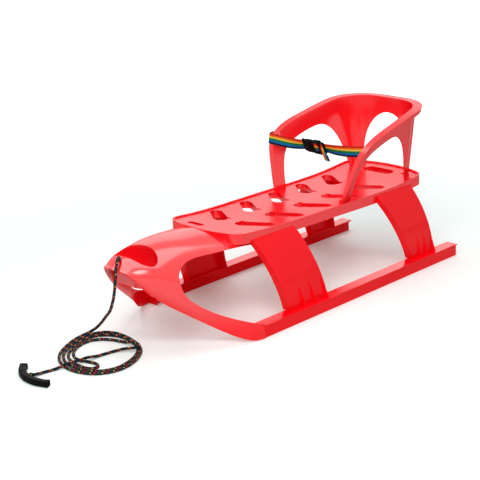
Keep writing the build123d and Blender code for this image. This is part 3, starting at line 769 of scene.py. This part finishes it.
class SLED_OT_strap(bpy.types.Operator):
    """Weave the two halves of the lap strap and its loose tail"""

    bl_idname = "sled.strap"
    bl_label = "Lap Strap"

    def execute(self, context):
        strap = context.scene.sled_strap
        lean = strap.lean

        def near_across(share):
            turn = lean - (lean + strap.tip) * min(1, max(0, share * 1.5 - 0.1))
            return Vector((0, sin(turn), cos(turn)))

        def far_across(share):
            turn = min(lean, (lean + strap.tip) * share * 2.2 - strap.tip)
            flare = 0.2 * min(1, max(0, share * 8 - 5))
            return Vector((-flare, sin(turn), cos(turn)))

        def tail_across(share):
            start = Vector((0, -sin(strap.tip), cos(strap.tip)))
            return start.lerp(Vector((-0.88, 0.40, -0.12)), min(1, max(0, share * 1.8 - 0.3)))

        for name, route, across, node in (
            ("near_strap", NEAR_ROUTE, near_across, "left_strap"),
            ("far_strap", FAR_ROUTE, far_across, "right_strap"),
            ("loose_tail", TAIL_ROUTE, tail_across, "strap_tail"),
        ):
            line = smooth_line(placed(route), 8)
            piece = band(line, across, strap.width, strap.thickness, name)
            dress(piece, webbing_material())
            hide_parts(node)
            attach(piece, "backrest")
        return {"FINISHED"}


def slab(bm, low, high, radius):
    """Add a block with rounded edges between two corners of (x, forward, up) in millimetres."""
    low, high = [Vector((x, -forward, up)) / 1000 for x, forward, up in (low, high)]
    verts = bmesh.ops.create_cube(bm, size=1)["verts"]
    bmesh.ops.scale(bm, vec=[abs(side) for side in high - low], verts=verts)
    bmesh.ops.translate(bm, vec=(low + high) / 2, verts=verts)
    edges = list({edge for vert in verts for edge in vert.link_edges})
    bmesh.ops.bevel(
        bm, geom=edges, offset=radius / 1000, offset_type="OFFSET", segments=3, profile=0.5,
        affect="EDGES", material=-1)


# Blocks of (low corner, high corner, edge radius) from the buckle's middle.
SOCKET_SLABS = (
    ((-28, -5.8, -16.5), (-6.4, 5.8, 16.5), 2.2),
    ((-24, 5, -12), (-10, 6.6, 12), 0.7),
    ((-37.5, -4.2, -16), (-26, 2.4, -11), 1.2),
    ((-37.5, -4.2, 11), (-26, 2.4, 16), 1.2),
    ((-37.5, -4, -15.5), (-33.6, 2.2, 15.5), 1.4),
    ((-36.5, -3, 14.5), (-32, 1.4, 18), 0.9),
    ((-36.5, -3, -18), (-32, 1.4, -14.5), 0.9),
    ((-18, -4, -18), (-8, 4, 18), 1.4),
)
TONGUE_SLABS = (
    ((-5.6, 1.4, -17.5), (0.4, 6.2, 17.5), 1.3),
    ((11.6, 1.4, -17.5), (16.4, 6.2, 17.5), 1.3),
    ((-4, -6, -17.5), (16.4, 6.2, -12.6), 1.4),
    ((-4, -6, 12.6), (16.4, 6.2, 17.5), 1.4),
    ((4.6, 1.6, -14), (7.6, 4.2, 14), 1),
    ((-19, -2.6, -17.4), (-4, 2.4, -13.6), 1.2),
    ((-19, -2.6, 13.6), (-4, 2.4, 17.4), 1.2),
    ((14.5, -3, -16), (27, 3.2, -12.8), 1.2),
    ((14.5, -3, 12.8), (27, 3.2, 16), 1.2),
    ((23.6, -3, -15.4), (27, 3.2, 15.4), 1.3),
)


class SLED_OT_buckle(bpy.types.Operator):
    """Build the side-release buckle: its socket, and its tongue with two bars for the webbing"""

    bl_idname = "sled.buckle"
    bl_label = "Buckle"

    def execute(self, context):
        for name, slabs, node in (
            ("side_release_socket", SOCKET_SLABS, "buckle_socket"),
            ("side_release_tongue", TONGUE_SLABS, "buckle_tongue"),
        ):
            bm = bmesh.new()
            for low, high, radius in slabs:
                slab(bm, low, high, radius)
            tip = Matrix.Rotation(context.scene.sled_strap.tip, 3, "X")
            middle = placed([BUCKLE_MIDDLE])[0]
            bmesh.ops.translate(bm, vec=middle, verts=bm.verts)
            bmesh.ops.rotate(bm, cent=middle, matrix=tip, verts=bm.verts)
            piece = finish_mesh(bm, name, merge=False)
            dress(piece, black_material(context.scene.sled_finish))
            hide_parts(node)
            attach(piece, "backrest")
        return {"FINISHED"}


class SLED_OT_mouldings(bpy.types.Operator):
    """Give the red mouldings their finish, with a painted sheen set part by part and painted shade
    in their coat
    """

    bl_idname = "sled.mouldings"
    bl_label = "Red Mouldings"

    def execute(self, context):
        finish = context.scene.sled_finish
        for name in MOULDINGS:
            # Each part's coat weights are a painted sheen on the one red plastic.
            gloss_and_sheen = GLOSS_AND_PAINTED_SHEEN.get(name, PLAIN_GLOSS_AND_SHEEN)
            dress(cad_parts[name], red_material(finish, f"red_{name}", *gloss_and_sheen))
        return {"FINISHED"}


class SLED_OT_studio(bpy.types.Operator):
    """Set the floor, the lights and the camera"""

    bl_idname = "sled.studio"
    bl_label = "Studio"

    def execute(self, context):
        settings = context.scene.sled_studio
        self.floor()
        self.lights(settings)
        self.camera(context, settings)
        context.scene.view_settings.view_transform = "Standard"
        return {"FINISHED"}

    def floor(self):
        """Pale floor that keeps the sled's shadow and turns white further out, its glow kept dim
        and cyan near the sled as painted shade.
        """
        bm = bmesh.new()
        bmesh.ops.create_grid(bm, x_segments=1, y_segments=1, size=30)
        bmesh.ops.translate(bm, vec=(0, 0, CAD_LOW.z - 0.0002), verts=bm.verts)
        floor = finish_mesh(bm, "floor", smooth=False)
        material, nodes, links, shader = new_material("pale_floor")
        shader.inputs["Base Color"].default_value = (*FLOOR_COLOUR, 1)
        shader.inputs["Roughness"].default_value = 0.9
        shader.inputs["Specular IOR Level"].default_value = 0.1
        rays = nodes.new("ShaderNodeLightPath")
        away = nodes.new("ShaderNodeVectorMath")
        away.operation = "LENGTH"
        links.new(nodes.new("ShaderNodeTexCoord").outputs["Object"], away.inputs[0])
        # Painted shade: the floor's glow stays dim and cyan-tinted near the sled and grows to white
        # further out.
        pale = nodes.new("ShaderNodeMapRange")
        pale.data_type, pale.interpolation_type = "FLOAT_VECTOR", "SMOOTHSTEP"
        vectors = {socket.name: socket for socket in pale.inputs if socket.type == "VECTOR"}
        for label, value in (
            ("From Min", (GLOW_STARTS,) * 3), ("From Max", (GLOW_ENDS,) * 3),
            ("To Min", PAINTED_SHADOW_TINT), ("To Max", GLOW_FAR),
        ):
            vectors[label].default_value = value
        links.new(away.outputs["Value"], vectors["Vector"])
        links.new(pale.outputs["Vector"], shader.inputs["Emission Color"])
        links.new(rays.outputs["Is Camera Ray"], shader.inputs["Emission Strength"])
        dress(floor, material)

    def lights(self, settings):
        """Wide soft lamps over a pale world."""
        world = bpy.data.worlds.new("studio")
        world.use_nodes = True
        nodes, links = world.node_tree.nodes, world.node_tree.links
        rays = nodes.new("ShaderNodeLightPath")
        pale = nodes.new("ShaderNodeMath")
        pale.operation = "MAXIMUM"
        links.new(rays.outputs["Is Camera Ray"], pale.inputs[0])
        links.new(rays.outputs["Is Glossy Ray"], pale.inputs[1])
        strength = nodes.new("ShaderNodeMapRange")
        strength.inputs["To Min"].default_value = 0.2
        strength.inputs["To Max"].default_value = 1.0
        links.new(pale.outputs[0], strength.inputs["Value"])
        links.new(strength.outputs[0], nodes["Background"].inputs["Strength"])
        nodes["Background"].inputs["Color"].default_value = (1, 1, 1, 1)
        bpy.context.scene.world = world
        for name, place, size, power in (
            ("key", (1.6, -2.2, 2.6), (2.2, 2.2), settings.key),
            ("overhead", (-0.3, 0.3, 3.2), (3.0, 3.0), settings.key * 0.6),
            ("backdrop", (-2.4, 2.6, 1.3), (3.4, 1.6), settings.key * 0.3),
        ):
            lamp = bpy.data.lights.new(name, "AREA")
            lamp.shape = "RECTANGLE"
            lamp.size, lamp.size_y = size
            lamp.energy = power
            light = link(name, lamp)
            light.location = place
            light.rotation_mode = "QUATERNION"
            light.rotation_quaternion = (Vector(place) * -1).to_track_quat("-Z", "Y")

    def camera(self, context, settings):
        """Camera at the sled's front left, a little above it."""
        a, e, r = radians(settings.azimuth), radians(settings.elevation), radians(settings.roll)
        back = Vector((sin(a) * cos(e), -cos(a) * cos(e), sin(e)))
        side = Vector((0, 0, 1)).cross(back).normalized()
        up = back.cross(side)
        right = side * cos(r) + up * sin(r)
        above = up * cos(r) - side * sin(r)
        lens = bpy.data.cameras.new("camera")
        lens.lens = settings.lens
        lens.clip_start, lens.clip_end = 0.1, 100
        camera = link("camera", lens)
        turn = Matrix((right, above, back)).transposed().to_4x4()
        camera.matrix_world = Matrix.Translation(CAMERA_PLACE) @ turn
        context.scene.camera = camera


CLASSES = (
    SledFinish, SledStrap, SledRope, SledHandle, SledStudio,
    SLED_OT_mouldings, SLED_OT_strap, SLED_OT_buckle, SLED_OT_knot, SLED_OT_handle, SLED_OT_rope,
    SLED_OT_studio,
)


class SLED_PT_panel(bpy.types.Panel):
    """Lists the sled's operators"""

    bl_label = "Moulded Sled"
    bl_idname = "SLED_PT_panel"
    bl_space_type = "VIEW_3D"
    bl_region_type = "UI"
    bl_category = "Moulded Sled"

    def draw(self, context):
        for operator in (
            "sled.mouldings", "sled.strap", "sled.buckle", "sled.knot", "sled.handle", "sled.rope",
            "sled.studio",
        ):
            self.layout.operator(operator)


def register():
    """Add the classes and the scene's settings."""
    for cls in CLASSES + (SLED_PT_panel,):
        bpy.utils.register_class(cls)
    bpy.types.Scene.sled_finish = PointerProperty(type=SledFinish)
    bpy.types.Scene.sled_strap = PointerProperty(type=SledStrap)
    bpy.types.Scene.sled_rope = PointerProperty(type=SledRope)
    bpy.types.Scene.sled_handle = PointerProperty(type=SledHandle)
    bpy.types.Scene.sled_studio = PointerProperty(type=SledStudio)


def unregister():
    """Take them away again."""
    del bpy.types.Scene.sled_studio
    del bpy.types.Scene.sled_handle
    del bpy.types.Scene.sled_rope
    del bpy.types.Scene.sled_strap
    del bpy.types.Scene.sled_finish
    for cls in reversed(CLASSES + (SLED_PT_panel,)):
        bpy.utils.unregister_class(cls)


def main():
    """Dress the sled."""
    register()
    bpy.ops.sled.studio()
    bpy.ops.sled.knot()
    bpy.ops.sled.handle()
    bpy.ops.sled.rope()
    bpy.ops.sled.mouldings()
    bpy.ops.sled.strap()
    bpy.ops.sled.buckle()


if __name__ == "__main__":
    main()
